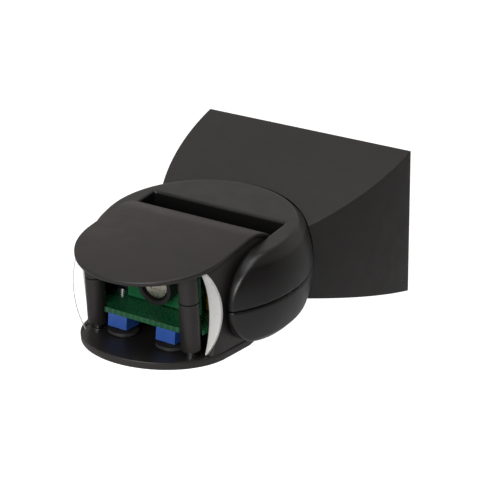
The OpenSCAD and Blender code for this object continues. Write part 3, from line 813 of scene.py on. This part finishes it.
inner_black = moulded("inner_black", (0.009, 0.009, 0.009), (0.013, 0.013, 0.013), (0.5, 0.6), 2400, 0.01 * MM)
soft_rubber = moulded("soft_rubber", (0.008, 0.008, 0.008), (0.014, 0.013, 0.012), (0.65, 0.8), 1800, 0.02 * MM)
zinc_plate = plated("zinc_plate", (0.45, 0.46, 0.48), (0.62, 0.63, 0.64), (0.24, 0.42), 900)
can_steel = plated("can_steel", (0.55, 0.53, 0.46), (0.68, 0.65, 0.57), (0.18, 0.3), 1200)
terminal_brass = plated("terminal_brass", (0.52, 0.36, 0.11), (0.72, 0.52, 0.2), (0.25, 0.4), 900)
white_nylon = moulded("white_nylon", (0.62, 0.62, 0.58), (0.72, 0.72, 0.68), (0.38, 0.5), 1500, 0.008 * MM)
brown_sleeve = moulded("brown_sleeve", (0.09, 0.035, 0.014), (0.13, 0.05, 0.02), (0.35, 0.46), 1200, 0.01 * MM)
amber_cell = moulded("amber_cell", (0.32, 0.09, 0.03), (0.5, 0.16, 0.06), (0.2, 0.32), 900, 0.005 * MM)
led_red = moulded("led_red", (0.4, 0.01, 0.008), (0.52, 0.02, 0.014), (0.08, 0.16), 900, 0.002 * MM)
relay_blue = moulded("relay_blue", (0.01, 0.035, 0.16), (0.016, 0.05, 0.22), (0.28, 0.4), 1500, 0.006 * MM)
film_yellow = moulded("film_yellow", (0.5, 0.34, 0.02), (0.62, 0.44, 0.04), (0.25, 0.38), 1400, 0.006 * MM)
pot_blue = moulded("pot_blue", (0.02, 0.07, 0.3), (0.03, 0.1, 0.4), (0.3, 0.42), 1500, 0.006 * MM)
knob_grey = moulded("knob_grey", (0.022, 0.022, 0.023), (0.032, 0.032, 0.033), (0.42, 0.52), 2400, 0.01 * MM)
board_green = solder_mask("board_green")

finishes = {
    inner_black: ["cable_clamp", "lens_frame", "sensor_shield"],
    bracket_black: ["wall_plate"],
    soft_rubber: ["wall_gasket", "cable_grommet", "tilt_ring_left", "tilt_ring_right"],
    zinc_plate: ["plate_screws", "clamp_screws", "yoke_screws", "pan_spigot", "pan_shoe",
                 "pan_spring", "pan_nut", "cover_screws", "board_screws"],
    can_steel: ["pir_sensor"],
    terminal_brass: ["terminal_screws"],
    white_nylon: ["terminal_block"],
    brown_sleeve: ["base_leads", "yoke_leads", "head_leads"],
    amber_cell: ["light_sensor"],
    led_red: ["status_led"],
    relay_blue: ["relay"],
    film_yellow: ["capacitor"],
    pot_blue: ["lux_pot", "time_pot"],
    board_green: ["main_board", "sensor_board"],
    knob_grey: ["lux_knob", "time_knob"],
}
for material, nodes in finishes.items():
    for node in nodes:
        paint(frame["nodes"][node], material)
dressed = {node for nodes in finishes.values() for node in nodes}
replaced = {"bracket_shell", "yoke_upper", "yoke_lower", "head_cover", "head_shell", "lens"}
print("nodes without a finish:", sorted(set(frame["nodes"]) - dressed - replaced))

# %% [markdown]
# ## The studio
# A pale floor lies well below the sensor, which hangs on its wall mount, and one broad soft
# light stands in front, a little above and to the right. The rest is an even grey surround, which is what the
# black plastic mirrors, so that it shows its shape without hard glints.

# %% Studio
scene = bpy.context.scene
scene.view_settings.view_transform = "Standard"
world = bpy.data.worlds.new("soft_studio")
world.use_nodes = True
world_tree = world.node_tree
surround = world_tree.nodes["Background"]
surround.inputs["Color"].default_value = (1.0, 0.955, 0.935, 1)
compass = world_tree.nodes.new("ShaderNodeSeparateXYZ")
world_tree.links.new(world_tree.nodes.new("ShaderNodeTexCoord").outputs["Generated"], compass.inputs["Vector"])
to_right = math_node(world_tree, "MULTIPLY_ADD", compass.outputs["Y"], -0.6,
                     math_node(world_tree, "MULTIPLY", compass.outputs["X"], 0.8))
open_side = ramp(world_tree, to_right, 0.10, 0.50, 1, 0.05)
by_height = ramp(world_tree, compass.outputs["Z"], 0.42, 0.75, 0.62, 0.22)
world_tree.links.new(math_node(world_tree, "MULTIPLY", open_side, by_height), surround.inputs["Strength"])
scene.world = world


def soft_light(name, place, size, watts):
    """A square area light that faces the ball."""
    data = bpy.data.lights.new(name, "AREA")
    data.size = size
    data.energy = watts
    light = bpy.data.objects.new(name, data)
    scene.collection.objects.link(light)
    light.location = place
    light.rotation_euler = (ball - light.location).to_track_quat("-Z", "Y").to_euler()


soft_light("key_light", Vector((0.25, -1.2, 0.6)), 0.7, 12)
soft_light("top_light", Vector((0.0, -0.1, 1.2)), 1.0, 8)

bpy.ops.object.select_all(action="DESELECT")
bpy.ops.mesh.primitive_plane_add(size=12, location=(0, 0, bracket_low.z - 160 * MM))
floor = settle(bpy.context.object, "studio_floor")
floor_material, floor_tree, floor_shader, floor_coords = start_material("pale_floor")
floor_tone = ramp(floor_tree, noise(floor_tree, floor_coords, 3, 2), 0.3, 0.7, 0.6, 0.62)
floor_tree.links.new(floor_tone, floor_shader.inputs["Base Color"])
floor_shader.inputs["Roughness"].default_value = 0.9
floor_shader.inputs["Emission Color"].default_value = (1, 1, 1, 1)
floor_light = math_node(floor_tree, "MULTIPLY", floor_tree.nodes.new("ShaderNodeLightPath").outputs[0], 0.75)
floor_tree.links.new(floor_light, floor_shader.inputs["Emission Strength"])
paint(floor, floor_material)
